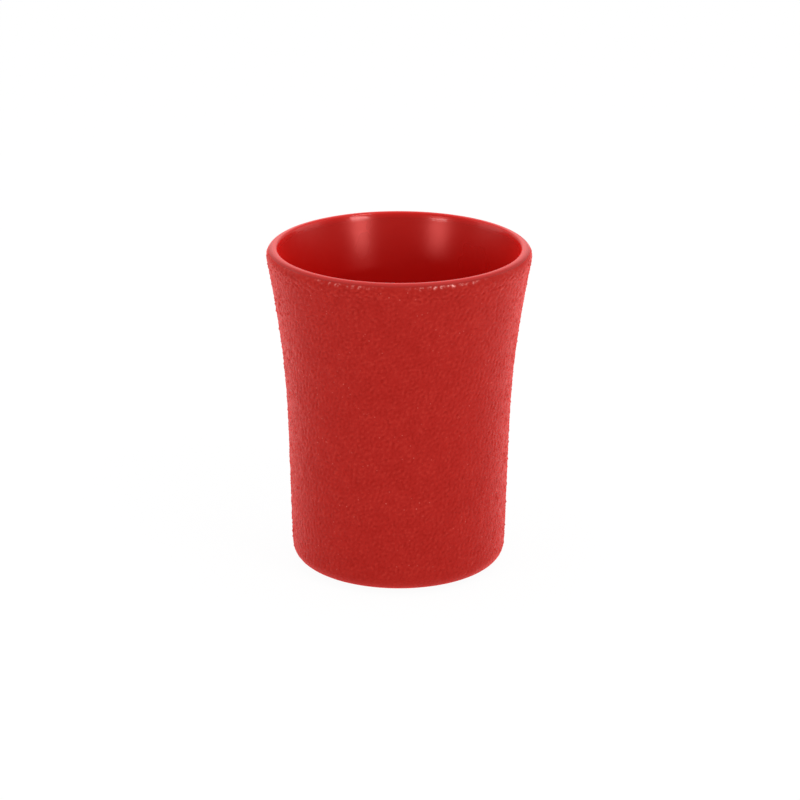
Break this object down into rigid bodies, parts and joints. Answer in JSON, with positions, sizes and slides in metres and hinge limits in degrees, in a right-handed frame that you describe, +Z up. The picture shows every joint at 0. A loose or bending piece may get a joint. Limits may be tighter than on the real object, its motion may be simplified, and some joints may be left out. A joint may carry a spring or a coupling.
{
  "type": "handleless porcelain cup",
  "caption": "Tall handleless porcelain cup with a gently flared wall, grainy textured red glaze outside, smooth satin red glaze inside and over the lip, and a bare foot ring.",
  "frame": {"origin": "centre of the foot ring's resting face, on the cup's axis", "axes": "+Z up along the cup's axis, from the foot to the lip; the cup is round, so +X and +Y are free, and the pictured side faces -Y"},
  "size_m": [0.082, 0.082, 0.103],
  "materials": {
    "bare_porcelain": "unglazed vitrified porcelain, fine-ground",
    "textured_red_glaze": "matt to satin red glaze with a fine grainy relief",
    "satin_red_glaze": "smooth satin red glaze",
    "base_red_glaze": "smooth satin red glaze"
  },
  "bodies": {
    "root": {"porcelain_body": "bare_porcelain", "textured_outer_glaze": "textured_red_glaze", "smooth_inner_glaze": "satin_red_glaze", "base_glaze": "base_red_glaze"}
  },
  "joints": []
}
